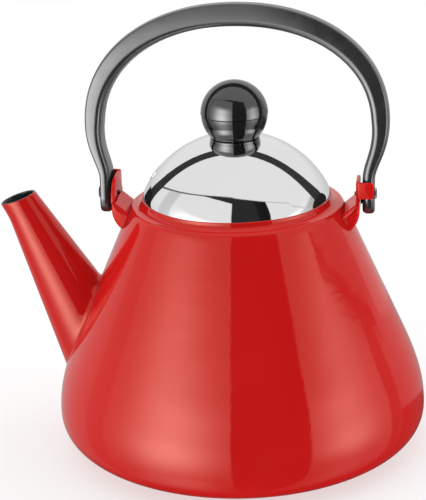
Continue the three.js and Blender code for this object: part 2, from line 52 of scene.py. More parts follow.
# %% Camera
camera_place = (0.10697, -0.89495, 0.42432)
camera_turn = (71.0561, 1.7963, 7.1255)
focal_length = 118.2


def into_scene(name, data):
    """A new object in the scene."""
    thing = bpy.data.objects.new(name, data)
    bpy.context.scene.collection.objects.link(thing)
    return thing


camera = into_scene("camera", bpy.data.cameras.new("camera"))
camera.location = camera_place
camera.rotation_euler = [math.radians(angle) for angle in camera_turn]
camera.data.sensor_width = 36
camera.data.lens = focal_length
camera.data.clip_start = 0.01
bpy.context.scene.camera = camera
bpy.context.scene.view_settings.view_transform = "Standard"
print("camera:", tuple(camera.location))

# %% [markdown]
# ## Node groups for the finishes
# No real surface is perfectly even. One group gives a soft, slow change of tone, the other the fine
# height of a sprayed, moulded or rolled surface. Both are built once and used with other values.

# %% Helpers for node trees
def link_value(tree, value, socket):
    if isinstance(value, bpy.types.NodeSocket):
        tree.links.new(value, socket)
    else:
        socket.default_value = value


def math_node(tree, operation, *values):
    node = tree.nodes.new("ShaderNodeMath")
    node.operation = operation
    for value, socket in zip(values, node.inputs):
        link_value(tree, value, socket)
    return node.outputs[0]


range_names = ("Value", "From Min", "From Max", "To Min", "To Max")


def range_node(tree, value, low, high, to_low=0.0, to_high=1.0, smooth=True):
    node = tree.nodes.new("ShaderNodeMapRange")
    node.interpolation_type = "SMOOTHSTEP" if smooth else "LINEAR"
    for name, item in zip(range_names, (value, low, high, to_low, to_high)):
        link_value(tree, item, node.inputs[name])
    return node.outputs[0]


def mixed(tree, share, first, second):
    """A mix of two shaders."""
    node = tree.nodes.new("ShaderNodeMixShader")
    for value, socket in zip((share, first, second), node.inputs):
        tree.links.new(value, socket)
    return node.outputs[0]


def new_group(name, inputs, outputs):
    group = bpy.data.node_groups.new(name, "ShaderNodeTree")
    for title, kind, default in inputs:
        socket = group.interface.new_socket(name=title, in_out="INPUT", socket_type=kind)
        if default is not None:
            socket.default_value = default
    for title, kind in outputs:
        group.interface.new_socket(name=title, in_out="OUTPUT", socket_type=kind)
    return group, group.nodes.new("NodeGroupInput"), group.nodes.new("NodeGroupOutput")


# %% Tone: a slow noise between two values
tone_group, tone_in, tone_out = new_group(
    "slow_tone",
    [("Vector", "NodeSocketVector", None), ("Scale", "NodeSocketFloat", 20.0),
     ("Low", "NodeSocketFloat", 0.0), ("High", "NodeSocketFloat", 1.0)],
    [("Value", "NodeSocketFloat")],
)
tone_noise = tone_group.nodes.new("ShaderNodeTexNoise")
tone_noise.inputs["Detail"].default_value = 3.0
for title in ("Vector", "Scale"):
    tone_group.links.new(tone_in.outputs[title], tone_noise.inputs[title])
noise_low, noise_high = 0.3, 0.7
tone_value = range_node(
    tone_group, tone_noise.outputs["Fac"], noise_low, noise_high,
    tone_in.outputs["Low"], tone_in.outputs["High"],
)
tone_group.links.new(tone_value, tone_out.inputs["Value"])
print("group:", tone_group.name)

# %% Grain: a broad wave with a fine texture on it, as a height
grain_group, grain_in, grain_out = new_group(
    "surface_grain",
    [("Vector", "NodeSocketVector", None), ("Wave Scale", "NodeSocketFloat", 30.0),
     ("Grain Scale", "NodeSocketFloat", 400.0), ("Grain Share", "NodeSocketFloat", 0.3)],
    [("Height", "NodeSocketFloat")],
)
grain_parts = []
for socket_name, detail in (("Wave Scale", 1.0), ("Grain Scale", 3.0)):
    noise = grain_group.nodes.new("ShaderNodeTexNoise")
    noise.inputs["Detail"].default_value = detail
    grain_group.links.new(grain_in.outputs["Vector"], noise.inputs["Vector"])
    grain_group.links.new(grain_in.outputs[socket_name], noise.inputs["Scale"])
    grain_parts.append(noise.outputs["Fac"])
grain_height = math_node(
    grain_group, "MULTIPLY_ADD", grain_parts[1], grain_in.outputs["Grain Share"], grain_parts[0],
)
grain_group.links.new(grain_height, grain_out.inputs["Height"])
print("group:", grain_group.name)

# %% [markdown]
# ## The finishes
# Every material starts from the same small recipe: a base colour whose tone drifts a little, a
# roughness that varies, and a bump that is far too shallow to see by itself but bends reflections.

# %% Recipe shared by the materials
def add_group(tree, group, **values):
    node = tree.nodes.new("ShaderNodeGroup")
    node.node_tree = group
    for title, value in values.items():
        link_value(tree, value, node.inputs[title.replace("_", " ")])
    return node.outputs[0]


def new_material(
    name, dark, light, rough, bump=0.0001, wave=200.0, grain=1500.0, share=0.5, tone_scale=20.0, **plain
):
    material = bpy.data.materials.new(name)
    material.use_nodes = True
    tree = material.node_tree
    shader = tree.nodes["Principled BSDF"]
    place = tree.nodes.new("ShaderNodeTexCoord").outputs["Object"]
    tone = add_group(tree, tone_group, Vector=place, Scale=tone_scale)
    colours = tree.nodes.new("ShaderNodeMix")
    colours.data_type = "RGBA"
    tree.links.new(tone, colours.inputs["Factor"])
    colours.inputs["A"].default_value = (*dark, 1)
    colours.inputs["B"].default_value = (*light, 1)
    tree.links.new(colours.outputs["Result"], shader.inputs["Base Color"])
    rough_scale = tone_scale * 4
    rough_tone = add_group(tree, tone_group, Vector=place, Scale=rough_scale, Low=rough[0], High=rough[1])
    tree.links.new(rough_tone, shader.inputs["Roughness"])
    height = add_group(tree, grain_group, Vector=place, Wave_Scale=wave, Grain_Scale=grain, Grain_Share=share)
    bump_node = tree.nodes.new("ShaderNodeBump")
    bump_node.inputs["Strength"].default_value = 1.0
    bump_node.inputs["Distance"].default_value = bump
    tree.links.new(height, bump_node.inputs["Height"])
    tree.links.new(bump_node.outputs["Normal"], shader.inputs["Normal"])
    for title, value in plain.items():
        shader.inputs[title.replace("_", " ")].default_value = value
    return material


def painted_grey_in_mirrors(material, grey):
    """Paints the material's image in mirrors: glossy rays see one even grey, a painted reflection, instead of
    its own shading.
    """
    tree = material.node_tree
    flat = tree.nodes.new("ShaderNodeBsdfDiffuse")
    flat.inputs["Color"].default_value = (grey, grey, grey, 1)
    in_mirror = tree.nodes.new("ShaderNodeLightPath").outputs["Is Glossy Ray"]
    choice = mixed(tree, in_mirror, tree.nodes["Principled BSDF"].outputs[0], flat.outputs[0])
    tree.links.new(choice, tree.nodes["Material Output"].inputs["Surface"])


# %% [markdown]
# ### Enamel
# The red is glass fused to steel: a deep colour under a hard, clear gloss that ripples very slightly,
# so straight reflections get wavy edges. The inside is the usual dark, speckled ground coat. The ears
# have a twin of the red that is lighter, which is painted light, and less glossy; in the lid it shows a
# painted even dark grey.

# %% Enamel materials
# The ears' twin of the red is lighter than the body's red: painted light. It is also less glossy.
red_enamel, ear_enamel = [
    new_material(
        name, (red - 0.01, 0.0086, 0.0081), (red + 0.01, 0.0100, 0.0095), (0.035, 0.06),
        bump=0.00012, wave=45.0, grain=260.0, share=0.22,
        Metallic=0.05, IOR=gloss, Specular_Tint=(1.0, 1.0, 0.78, 1.0),
    )
    for name, red, gloss in (("red_enamel", 0.53, 1.43), ("ear_enamel", 0.64, 1.3))
]
# In the lid the ears show a painted even dark grey: a painted reflection.
painted_grey_in_mirrors(ear_enamel, grey=0.025)
dark_enamel = new_material(
    "dark_enamel", (0.010, 0.010, 0.011), (0.045, 0.045, 0.047), (0.18, 0.3),
    bump=0.0003, wave=60.0, grain=500.0, share=0.3, tone_scale=700.0,
)
print("enamel:", red_enamel.name, dark_enamel.name)

# %% [markdown]
# ### Metals
# The lid is polished to a mirror, with a trace of haze. The skirt, screw and whistle are plain sheet
# metal, the base is a darker satin sheet, and the rivets are darkened steel.

# %% Metal materials
polished_steel = new_material(
    "polished_steel", (0.86, 0.865, 0.87), (0.89, 0.89, 0.895), (0.02, 0.05),
    bump=0.00006, wave=35.0, grain=300.0, share=0.08, Metallic=1.0,
)
plain_steel = new_material(
    "plain_steel", (0.50, 0.51, 0.52), (0.64, 0.65, 0.66), (0.22, 0.36),
    wave=120.0, grain=900.0, tone_scale=90.0, Metallic=1.0,
)
base_steel = new_material(
    "base_steel", (0.26, 0.26, 0.27), (0.36, 0.36, 0.37), (0.3, 0.45),
    wave=60.0, grain=900.0, tone_scale=40.0, Metallic=1.0,
)
dark_fastener = new_material(
    "dark_fastener", (0.10, 0.10, 0.105), (0.17, 0.17, 0.175), (0.25, 0.4),
    tone_scale=300.0, Metallic=1.0,
)
insert_brass = new_material(
    "insert_brass", (0.62, 0.42, 0.14), (0.75, 0.55, 0.24), (0.2, 0.4),
    share=0.3, tone_scale=300.0, Metallic=1.0,
)
print("metals:", polished_steel.name, plain_steel.name, base_steel.name)

# %% [markdown]
# ### Black plastics and rubber
# Knob and handle are moulded in a dense black plastic. The knob is buffed to a gloss; the handle
# keeps a satin skin, so its reflections are softer. Its image in the lid is a painted even dark grey.

# %% Plastic and rubber materials
knob_black = new_material(
    "knob_black", (0.010, 0.010, 0.0105), (0.013, 0.013, 0.0135), (0.06, 0.10),
    bump=0.00012, wave=60.0, grain=700.0, share=0.12, tone_scale=60.0, IOR=1.9,
)
handle_black = new_material(
    "handle_black", (0.024, 0.024, 0.0245), (0.031, 0.031, 0.0315), (0.16, 0.22),
    wave=60.0, grain=1100.0, share=0.2, tone_scale=40.0, IOR=1.9,
)
# In the lid the handle shows a painted even dark grey: a painted reflection.
painted_grey_in_mirrors(handle_black, grey=0.042)
# Black of the ear spacers and the knob's washer: painted shade for the shaded gaps they fill.
black_spacer = new_material(
    "black_spacer", (0.010, 0.010, 0.010), (0.02, 0.02, 0.02), (0.45, 0.6),
    bump=0.0002, share=0.3, tone_scale=200.0,
)
seal_rubber = new_material(
    "seal_rubber", (0.16, 0.16, 0.155), (0.24, 0.24, 0.235), (0.55, 0.75),
    bump=0.0003, wave=150.0, grain=1200.0, tone_scale=120.0,
)
print("plastics:", knob_black.name, handle_black.name)

# %% [markdown]
# ## Ways to make a piece
# Nearly everything on a kettle is turned, so most pieces are an outline spun round an axis. The
# spout and the handle change along their length, so there one loop of edges is extruded from ring
# to ring. Lengths are written in millimetres, as on a drawing, and made metres at the last moment.

# %% Outlines
mm = 0.001
merge_gap = 0.002 * mm


def mix(a, b, share):
    return a + (b - a) * share


def spread(first, last, steps):
    """Even steps from one value to another."""
    return [mix(first, last, i / steps) for i in range(steps + 1)]


def straight(start, end, steps):
    """Points of a straight line."""
    return list(zip(*(spread(a, b, steps) for a, b in zip(start, end))))


def curve(points, steps):
    """Points of a quadratic or cubic Bezier curve."""
    line = []
    for i in range(steps + 1):
        row = [Vector(p) for p in points]
        while len(row) > 1:
            row = [a.lerp(b, i / steps) for a, b in zip(row, row[1:])]
        line.append(tuple(row[0]))
    return line


def arc(centre, radius, start, end, steps):
    """Points of an arc, from one angle to another."""
    angles = spread(start, end, steps)
    return [(centre[0] + radius * math.cos(a), centre[1] + radius * math.sin(a)) for a in angles]


def rounded(corners, steps=4):
    """A closed outline of (x, y, radius) corners, with an arc in each corner that has a radius."""
    points = []
    for i, (x, y, radius) in enumerate(corners):
        here = Vector((x, y))
        if not radius:
            points.append((x, y))
            continue
        back = (Vector(corners[i - 1][:2]) - here).normalized()
        ahead = (Vector(corners[(i + 1) % len(corners)][:2]) - here).normalized()
        half = back.angle(ahead) / 2
        centre = here + (back + ahead).normalized() * (radius / math.sin(half))
        start = here + back * (radius / math.tan(half)) - centre
        end = here + ahead * (radius / math.tan(half)) - centre
        turn = start.angle(end)
        for j in range(steps + 1):
            t = j / steps
            spoke = (start * math.sin((1 - t) * turn) + end * math.sin(t * turn)) / math.sin(turn)
            points.append(tuple(centre + spoke))
    return points


def border(low, high, is_before):
    """The place between two others at which a test stops being true."""
    for _ in range(40):
        middle = (low + high) / 2
        if is_before(middle):
            low = middle
        else:
            high = middle
    return high


def heading(line, i):
    """Direction of a line at one of its points."""
    before, after = line[max(i - 1, 0)], line[min(i + 1, len(line) - 1)]
    return (Vector(after) - Vector(before)).normalized()


def offset(line, distance):
    """The line moved to its left by a distance."""
    moved = []
    for i, (x, y) in enumerate(line):
        along = heading(line, i)
        moved.append((x - along.y * distance, y + along.x * distance))
    return moved


# %% Spinning and sweeping
def spun(outline, steps=128, closed=True):
    """Spins an outline of (radius, height) round Z."""
    bm = bmesh.new()
    verts = [bm.verts.new((radius * mm, 0, height * mm)) for radius, height in outline]
    pairs = list(zip(verts, verts[1:]))
    if closed:
        pairs.append((verts[-1], verts[0]))
    edges = [bm.edges.new(pair) for pair in pairs]
    bmesh.ops.spin(
        bm, geom=verts + edges, cent=(0, 0, 0), axis=(0, 0, 1), dvec=(0, 0, 0),
        angle=math.tau, steps=steps, use_merge=True, use_duplicate=False,
    )
    bmesh.ops.remove_doubles(bm, verts=bm.verts, dist=merge_gap)
    return bm


def swept(rings, capped):
    """Extrudes one loop of edges from ring to ring; each vertex remembers its place and its ring."""
    bm = bmesh.new()
    place = bm.verts.layers.int.new("place")
    number = bm.verts.layers.int.new("ring")
    loop = [bm.verts.new(Vector(p) * mm) for p in rings[0]]
    for i, vert in enumerate(loop):
        vert[place] = i
    edges = [bm.edges.new((loop[i - 1], loop[i])) for i in range(len(loop))]
    if capped:
        bm.faces.new(loop)
    for i, ring in enumerate(rings[1:], 1):
        made = bmesh.ops.extrude_edge_only(bm, edges=edges)["geom"]
        verts = {item for item in made if isinstance(item, bmesh.types.BMVert)}
        for vert in verts:
            vert.co = Vector(ring[vert[place]]) * mm
            vert[number] = i
        edges = [e for e in made if isinstance(e, bmesh.types.BMEdge) and set(e.verts) <= verts]
    if capped:
        bm.faces.new(sorted(verts, key=lambda vert: vert[place]))
    else:
        bmesh.ops.remove_doubles(bm, verts=bm.verts, dist=merge_gap)
    return bm


def open_hole(bm, is_inside):
    """Takes the faces inside a hole away and joins the two rims that are left."""
    inside = [face for face in bm.faces if is_inside(face.calc_center_median() / mm)]
    bmesh.ops.delete(bm, geom=inside, context="FACES")
    bmesh.ops.bridge_loops(bm, edges=[edge for edge in bm.edges if edge.is_boundary])


def bevelled(bm, edges, width, segments):
    bmesh.ops.bevel(
        bm, geom=edges, offset=width * mm, offset_type="OFFSET",
        segments=segments, profile=0.5, affect="EDGES", material=-1,
    )


def turned(bm, angle, axis, centre=(0, 0, 0)):
    bmesh.ops.rotate(bm, verts=bm.verts, cent=centre, matrix=Matrix.Rotation(angle, 3, axis))


# %% Finishing a piece
def as_mesh(bm, name):
    mesh = bpy.data.meshes.new(name)
    bm.to_mesh(mesh)
    bm.free()
    return mesh


def extent(mesh):
    columns = list(zip(*(vert.co for vert in mesh.vertices)))
    return [round(max(column) - min(column), 4) for column in columns]


def finished(bm, name, body, materials, replaced, sharp=32):
    """Turns a bmesh into a named piece that rides on a body and stands for CAD nodes."""
    bmesh.ops.recalc_face_normals(bm, faces=bm.faces)
    mesh = as_mesh(bm, name)
    for material in materials:
        mesh.materials.append(material)
    mesh.shade_smooth()
    mesh.set_sharp_from_angle(angle=math.radians(sharp))
    piece = into_scene(name, mesh)
    if replaced:
        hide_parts(*replaced)
    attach(piece, body)
    print(f"{name}: {len(mesh.polygons)} faces, {extent(mesh)} m")
    return piece


# %% [markdown]
# ## The vessel
# The shell is deep-drawn from one sheet: a rounded belt near the bottom, a straight cone, a rolled
# shoulder and a short collar that flares in to the lip. Inside the lip is the ledge the lid sits on.
# It is turned in one go, with the wall's thickness in the outline. The hole under the spout is then
# opened in both walls, where the spout covers its rim.

# %% Outline of the vessel's wall
wall = 1.5
seam_radius = 80.0
base_radius = 86.5
belt_radius = 108.0
belt = (belt_radius, 22.0)
shoulder = (61.6, 142.5)
collar_foot = (59.0, 144.4)
lip_centre = (54.0, 148.3)
lip_round = 0.5
cone_steps = 34
cone_foot = (mix(shoulder[0], belt_radius, 0.754), mix(belt[1], shoulder[1], 0.3485))
cone_slope = (cone_foot[0] - shoulder[0]) / (shoulder[1] - cone_foot[1])
foot_handle = (mix(shoulder[0], cone_foot[0], 1.2), mix(shoulder[1], cone_foot[1], 1.2))
base_curve = curve([
    (base_radius, 0), (mix(base_radius, belt_radius, 0.58), 3.96), (belt_radius, 9.02), belt,
], 20)
belt_curve = curve([belt, (belt_radius, mix(belt[1], cone_foot[1], 0.33)), foot_handle, cone_foot], 20)
cone_line = straight(cone_foot, shoulder, cone_steps)[1:]
wall_line = base_curve + belt_curve[1:] + cone_line
roll_line = curve([shoulder, (60.74, collar_foot[1]), collar_foot], 6)[1:]
flare_line = curve([collar_foot, (54.95, 144.79), (lip_centre[0] + lip_round, lip_centre[1])], 10)[1:]
lip_line = arc(lip_centre, lip_round, 0, math.pi, 8)[1:]
print("wall points:", len(wall_line), "cone slope:", round(cone_slope, 3))


def wall_radius(height):
    """Outer radius of the vessel at a height."""
    for (r0, z0), (r1, z1) in zip(wall_line, wall_line[1:]):
        if z0 <= height <= z1:
            return mix(r0, r1, (height - z0) / (z1 - z0))
    return shoulder[0]


# %% The spout's axis, which also places the hole
spout_lean = math.radians(26)
spout_along = Vector((-math.sin(spout_lean), 0, math.cos(spout_lean)))
spout_outward = Vector((-math.cos(spout_lean), 0, -math.sin(spout_lean)))
root_height = 68
root_sunk = 4.9
root_reach = 32
spout_root = Vector((root_sunk - (shoulder[0] + cone_slope * (shoulder[1] - root_height)), 0, root_height))
spout_length = 85.7
root_radius, mouth_radius = 22.4, 9.9
hole_margin = 4.5
print("spout root:", tuple(round(c, 1) for c in spout_root))


def spout_radius(place):
    return mix(root_radius, mouth_radius, place / spout_length)


def in_spout_hole(point):
    along = (point - spout_root).dot(spout_along)
    away = (point - spout_root - spout_along * along).length
    return abs(along) < root_reach and away < spout_radius(along) - hole_margin


# %% Body shell
ledge_foot = 142.9
ledge_line = [
    (53.5, 145.0), (53.3, 144.5), (52.9, 144.4), (50.2, 144.4),
    (49.8, 144.2), (49.6, 143.8), (49.6, ledge_foot), (59.8, ledge_foot),
]
inside_line = offset(wall_line, wall)[1:-1][::-1]
floor_line = [(base_radius, wall), (seam_radius, wall)]
outside_line = [(seam_radius, 0.0)] + wall_line + roll_line + flare_line + lip_line
shell = spun(outside_line + ledge_line + inside_line + floor_line, steps=160)
open_hole(shell, in_spout_hole)
nib_angle = math.radians(212)
nib_centre = Matrix.Translation(Vector((53.25, 0, 147.3)) * mm)
nib_size = Matrix.Diagonal((1.9 * mm, 3 * mm, 1.6 * mm, 1))
nib = bmesh.ops.create_cube(shell, size=1, matrix=Matrix.Rotation(nib_angle, 4, "Z") @ nib_centre @ nib_size)
bevelled(shell, list({edge for vert in nib["verts"] for edge in vert.link_edges}), 0.4, 3)
for face in shell.faces:
    centre = face.calc_center_median() / mm
    inner_radius = wall_radius(min(centre.z, shoulder[1] - 0.1)) - 0.6 * wall
    if wall + 0.1 < centre.z < ledge_foot + 0.05 and math.hypot(centre.x, centre.y) < inner_radius:
        face.material_index = 1
finished(shell, "shell", "kettle", [red_enamel, dark_enamel], ["body_shell"])

# %% [markdown]
# ## The base plate
# The floor is a separate disc with a step, seamed into the shell's turned-in edge. Shallow rings are
# pressed into it so that it stays flat when it gets hot.

# %% Base plate
plate_outer, plate_top_height, plate_step = 85, 3.4, 1.8
plate_corners = [(0, 0, 0)]
for radius in (30, 60):
    ring = [(radius, 0), (radius + 1, 0.5), (radius + 4, 0.5), (radius + 5, 0)]
    plate_corners += [(x, z, 1.0) for x, z in ring]
plate_corners += [(79.7, 0, 0.3), (79.7, plate_step, 0), (plate_outer, plate_step, 0.4)]
plate_corners += [(plate_outer, plate_top_height, 0.4), (0, plate_top_height, 0)]
floor_plate = spun(rounded(plate_corners), closed=False)
finished(floor_plate, "floor_plate", "kettle", [base_steel], ["base_plate"])

# %% [markdown]
# ## The spout
# A tapering tube leans out of the cone. Each line along it ends exactly on the vessel's wall, with a
# small flare there for the enamel that pools in the joint. At the mouth the outer side reaches
# forward into a pouring lip. The same rings run back down inside for the wall's thickness.

# %% Points of the spout
lip_run = 11
lip_reach = 1.6
lip_rise = 2.7


def spout_point(place, angle, growth):
    """A point at a place along the spout and an angle round it."""
    lip_share = max(0.0, min(1.0, (place - spout_length + lip_run) / lip_run)) ** 2
    reach = spout_radius(place) + growth
    reach += lip_reach * max(0.0, math.cos(angle)) ** 2 * lip_share
    rise = place + lip_rise * (1 + math.cos(angle)) / 2 * lip_share
    sideways = Vector((0, -1, 0)) * (reach * math.sin(angle))
    return spout_root + spout_along * rise + spout_outward * (reach * math.cos(angle)) + sideways


def spout_foot(angle, growth):
    """Place along the spout at which one of its lines meets the wall."""
    def is_inside(place):
        point = spout_point(place, angle, growth)
        return math.hypot(point.x, point.y) < wall_radius(point.z) - 0.15

    return border(-root_reach, 50.0, is_inside)


# %% Spout
line_count = 96
spout_angles = [math.tau * i / line_count for i in range(line_count)]
flare_width = 1.3
flare_places = (0.0, 0.3, 0.7, 1.2, 1.9, 2.8)
flare_end = flare_places[-1]
even_from = 73.5
half_wall = 0.7
wall_end = spout_length - half_wall
flare_feet = [spout_foot(angle, flare_width) for angle in spout_angles]
inner_feet = [spout_foot(angle, -2 * half_wall) for angle in spout_angles]
spout_rings = []


def add_ring(places, growth):
    spout_rings.append([spout_point(place, angle, growth) for place, angle in zip(places, spout_angles)])


for distance in flare_places:
    add_ring([foot + distance for foot in flare_feet], flare_width * (1 - distance / flare_end) ** 2)
for i in range(1, 17):
    add_ring([mix(foot + flare_end, even_from, i / 16) for foot in flare_feet], 0)
for place in spread(even_from, wall_end, 10)[1:]:
    add_ring([place] * line_count, 0)
first_dark = len(spout_rings) + 1
for i in range(1, 8):
    turn = math.pi * i / 8
    add_ring([wall_end + half_wall * math.sin(turn)] * line_count, half_wall * math.cos(turn) - half_wall)
for place in spread(wall_end, even_from, 8):
    add_ring([place] * line_count, -2 * half_wall)
for i in range(1, 11):
    add_ring([mix(even_from, foot, i / 10) for foot in inner_feet], -2 * half_wall)
spout_rings.append(spout_rings[0])
tube = swept(spout_rings, capped=False)
ring_of = tube.verts.layers.int["ring"]
for face in tube.faces:
    if max(vert[ring_of] for vert in face.verts) > first_dark:
        face.material_index = 1
finished(tube, "spout_tube", "kettle", [red_enamel, dark_enamel], ["spout"], sharp=50)

# %% [markdown]
# ## The ears
# Two folded brackets are welded to the shoulder and carry the handle. Each is a pressing with a
# sloping top plate, a cheek on either side and an outer face, and on it stands an upright flange with
# a stop tab bent from its edge. Both parts are drawn as a thin skin: an outline is extruded across,
# the folds are bevelled, and Solidify then gives the skin the sheet's thickness.

# %% Sizes of the ears
pivot_height = 149.6
ear_outer = 70.8
ear_half = 13.9
sheet = 2.0
ear_top = pivot_height + 9.9
skirt_height = pivot_height - 8.6
foot_height = pivot_height - 18.8
fold = 2.0
plate_drop = 2.8
plate_slope = math.tan(math.radians(40))
tab_height = 9.4
tab_reach = 8.2
tab_round = 1.9
flange_round = 12.6


def plate_height(x):
    return pivot_height - plate_drop - plate_slope * (ear_outer - sheet - x)


def body_reach(y, height):
    """How far out the vessel's surface is, along X, at a y and a height."""
    radius = wall_radius(height) - 0.25
    return math.sqrt(radius ** 2 - y ** 2)


def plate_start(y):
    """Where the top plate's surface meets the vessel."""
    return border(50.0, 68.0, lambda x: x < body_reach(y, plate_height(x)))


# %% The ear's outline at one y, from the collar over the plate and down to the foot
plate_top = plate_height(ear_outer - sheet)


def ear_profile(y):
    start = plate_start(y)
    foot = body_reach(y, foot_height)
    bend = curve([(ear_outer, skirt_height), (69.9, 134.4), (foot, foot_height)], 10)
    plate = straight((start, plate_height(start)), (ear_outer - sheet, plate_top), 4)
    return plate + [(ear_outer, plate_top)] + bend


print("ear outline:", len(ear_profile(0)), "points")

# %% The pressing: the outline extruded across, closed by a cheek at each end
def ear_pressing():
    bm = bmesh.new()
    verts = [bm.verts.new(Vector((x, -ear_half, z)) * mm) for x, z in ear_profile(-ear_half)]
    edges = [bm.edges.new(pair) for pair in zip(verts, verts[1:])]
    rows = [verts]
    for y in spread(-ear_half, ear_half, 12)[1:]:
        made = bmesh.ops.extrude_edge_only(bm, edges=edges)["geom"]
        fresh = {item for item in made if isinstance(item, bmesh.types.BMVert)}
        row = [next(e.other_vert(v) for e in v.link_edges if e.other_vert(v) in fresh) for v in rows[-1]]
        for vert, (x, z) in zip(row, ear_profile(y)):
            vert.co = Vector((x, y, z)) * mm
        edges = [bm.edges.get(pair) for pair in zip(row, row[1:])]
        rows.append(row)
    folds = []
    for row, y in ((rows[0], -ear_half), (rows[-1], ear_half)):
        heights = spread(foot_height, plate_height(plate_start(y)), 6)[1:-1]
        inner = [bm.verts.new(Vector((body_reach(y, z), y, z)) * mm) for z in heights]
        bm.faces.new(row + inner)
        folds += [bm.edges.get(pair) for pair in zip(row, row[1:])]
    bmesh.ops.recalc_face_normals(bm, faces=bm.faces)
    bevelled(bm, folds, fold, 5)
    return bm


# %% The flange and its tab: two faces that share the edge of the fold
def ear_flange():
    bm = bmesh.new()
    inside = ear_outer - sheet
    tab_foot = ear_top - tab_height
    tab_end = ear_outer + tab_reach
    flange = rounded([
        (-ear_half, plate_top, 0), (ear_half, plate_top, 0),
        (ear_half, ear_top, flange_round), (-ear_half, ear_top, 0),
    ], 14)
    tab = rounded([
        (inside, tab_foot, 0), (tab_end, tab_foot, tab_round),
        (tab_end, ear_top, tab_round), (inside, ear_top, 0),
    ], 6)
    flange_verts = [bm.verts.new(Vector((inside, y, z)) * mm) for y, z in flange]
    corner = bm.verts.new(Vector((inside, -ear_half, tab_foot)) * mm)
    bm.faces.new(flange_verts + [corner])
    tab_verts = [bm.verts.new(Vector((x, -ear_half, z)) * mm) for x, z in tab[1:-1]]
    bm.faces.new([corner] + tab_verts + [flange_verts[-1]])
    bmesh.ops.recalc_face_normals(bm, faces=bm.faces)
    if sum(face.normal.y for face in bm.faces) > 0:
        bmesh.ops.reverse_faces(bm, faces=bm.faces)
    bevelled(bm, [bm.edges.get((corner, flange_verts[-1]))], fold, 6)
    return bm


# %% Thickness for a skin
def thickened(bm):
    """Runs Solidify over a bmesh and gives the result back as a bmesh."""
    work = into_scene("work", as_mesh(bm, "work"))
    solidify = work.modifiers.new("solidify", "SOLIDIFY")
    solidify.thickness = sheet * mm
    solidify.offset = -1
    solidify.use_even_offset = True
    bpy.context.view_layer.update()
    evaluated = work.evaluated_get(bpy.context.evaluated_depsgraph_get())
    result = bmesh.new()
    result.from_mesh(evaluated.to_mesh())
    evaluated.to_mesh_clear()
    bpy.data.objects.remove(work)
    return result


# %% Both ears: one pressing, used twice, so the left one is turned half round
def ear(name, turn, node):
    whole = thickened(ear_flange())
    cut_edges = [
        edge for edge in whole.edges
        if edge.calc_face_angle(0) > math.radians(40)
        and min(vert.co.z for vert in edge.verts) > (plate_top + 0.1) * mm
    ]
    bevelled(whole, cut_edges, 0.45, 3)
    whole.from_mesh(as_mesh(thickened(ear_pressing()), "part"))
    turned(whole, turn, "Z")
    # The ears take the lighter twin of the red, which is painted light.
    finished(whole, name, "kettle", [ear_enamel], [node], sharp=40)


ear("ear_bracket_right", 0, "ear_right")
ear("ear_bracket_left", math.pi, "ear_left")

# %% [markdown]
# ## Rivets and spacers
# The handle turns on two rivets. Each has a domed head outside the leg and a small closed end inside
# the ear. A spacer fills the gap between ear and leg, and its black is painted shade for the dark line of
# shade in that gap.

# %% Turned pieces at the pivots
leg_outer = 79.1
head_radius = 3.4
head_foot = leg_outer + 0.3
head_top = leg_outer + 1.1
tail_radius = 1.3


def laid_on_pivot(bm, side):
    """Lays a piece that was turned round Z along X, at the pivot."""
    turned(bm, side * math.pi / 2, "Y")
    bmesh.ops.translate(bm, verts=bm.verts, vec=(0, 0, pivot_height * mm))
    return bm


head_side = leg_outer + 0.9
rivet_head = curve([(head_radius, head_foot), (head_radius, head_side), (2.0, head_top), (0, head_top)], 8)
rivet_tail = curve([(0, 67.4), (0.8, 67.4), (tail_radius, 67.6), (tail_radius, 68.9)], 6)
rivet_outline = rivet_tail + [(tail_radius, head_foot)] + rivet_head
bore, rim = 2.3, 6
near, far = 71.1, 71.9
spacer_outline = rounded([(bore, near, 0), (rim, near, 0.2), (rim, far, 0.2), (bore, far, 0)])
for side, word in ((1, "right"), (-1, "left")):
    finished(
        laid_on_pivot(spun(rivet_outline, 48, closed=False), side),
        f"rivet_pin_{word}", "kettle", [dark_fastener], [f"rivet_{word}"],
    )
    # The spacer's black is painted shade for the gap between ear and leg.
    finished(
        laid_on_pivot(spun(spacer_outline, 48), side),
        f"spacer_{word}", "kettle", [black_spacer], [f"washer_{word}"],
    )

# %% [markdown]
# ## The handle
# The grip is one moulding whose section changes all the way: thin, deep legs at the pivots, and a
# thicker, slightly crowned bar at the top. The arch is a rounded square rather than a circle. Its front
# and back taper a little towards the outer face, as a moulding does. Each ring below is that section,
# set across the line of the handle's outer face.

# %% Line and section of the handle
leg_depth = 19.4
leg_drop = 11.6
leg_thickness = 6.9
leg_round = 2.4
waist_thickness = 10.3
grip_depth = 19.6
grip_thickness = 13.6
handle_top = pivot_height + 108.2
arch_rise = 67.0
arch_power = 2 / 2.13
arch_steps = 60
handle_bend = handle_top - arch_rise
handle_widest = leg_outer + 8.2
leg_top = pivot_height + 8


def handle_side():
    """Outer line of the right half, from above the pivot to the top, in x and z."""
    waist = curve([
        (leg_outer, leg_top), (mix(leg_outer, handle_widest, 0.03), mix(leg_top, handle_bend, 0.23)),
        (handle_widest, mix(handle_bend, leg_top, 0.53)), (handle_widest, handle_bend),
    ], 30)
    arch = []
    for i in range(1, arch_steps + 1):
        angle = math.pi / 2 * i / arch_steps
        across = handle_widest * max(0.0, math.cos(angle)) ** arch_power
        arch.append((across, handle_bend + arch_rise * math.sin(angle) ** arch_power))
    return waist + arch


def grip_section(thickness, depth):
    """The section: x is the depth below the outer face, y runs across it."""
    half = depth / 2
    crown = min(1.0, depth / 20)
    outer = min(1.6, half * 0.8, thickness * 0.4)
    inner = min(3.2, half * 0.8, thickness * 0.45)
    narrow = half - 0.14 * thickness
    shares = [i / 10 for i in range(1, 10)]
    face = [(crown * (2 * t - 1) ** 2, mix(outer - narrow, narrow - outer, t)) for t in shares]
    return face + rounded([
        (crown, narrow, outer), (thickness, half, inner), (thickness, -half, inner), (crown, -narrow, outer),
    ], 8)


